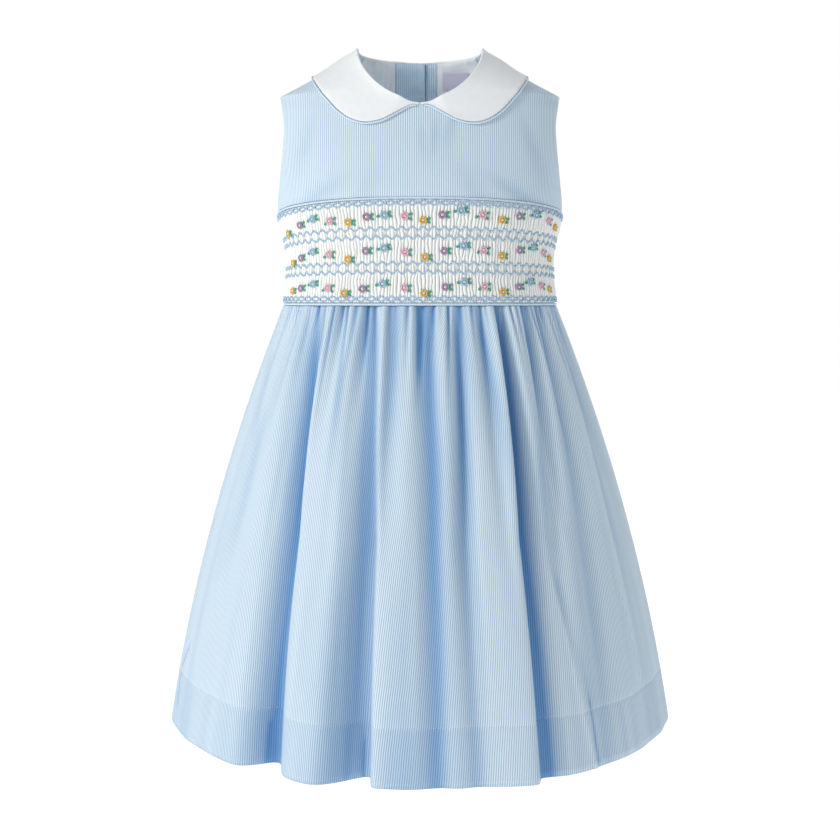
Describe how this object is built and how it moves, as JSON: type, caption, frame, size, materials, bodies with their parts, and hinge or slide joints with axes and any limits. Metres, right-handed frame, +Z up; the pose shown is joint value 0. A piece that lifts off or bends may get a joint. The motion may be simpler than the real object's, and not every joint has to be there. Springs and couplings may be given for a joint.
{
  "type": "smocked dress",
  "caption": "Child's sleeveless dress with a round collar, striped bodice, smocked and embroidered front panel and a gathered striped skirt, filled out as worn.",
  "frame": {"origin": "between the two shoulder seams, at the mount worn_on_shoulders, where the dress hangs from its wearer", "axes": "+Z up, -Y towards the front, +X to the viewer's right as seen from the front"},
  "size_m": [0.392, 0.3309, 0.5268],
  "materials": {
    "striped_cotton": "matt, fine lengthwise stripes",
    "white_cotton": "matt",
    "smocked_cotton": "matt, pleated and embroidered",
    "piping": "matt, stripes on the bias",
    "label": "satin",
    "button": "gloss"
  },
  "bodies": {
    "root": {"front_yoke": "striped_cotton", "smocked_panel": "smocked_cotton", "panel_piping": "piping", "waist_piping": "piping", "back_bodice_left": "striped_cotton", "back_bodice_right": "striped_cotton", "back_underlap": "striped_cotton", "back_lap_facing": "striped_cotton", "neck_facing_left": "white_cotton", "neck_facing_right": "white_cotton", "neck_label": "label", "collar_left": "white_cotton", "collar_right": "white_cotton", "collar_piping_left": "piping", "collar_piping_right": "piping", "back_button_1": "button", "back_button_2": "button", "back_button_3": "button", "back_button_4": "button", "skirt_front": "striped_cotton", "skirt_back": "striped_cotton"}
  },
  "joints": []
}
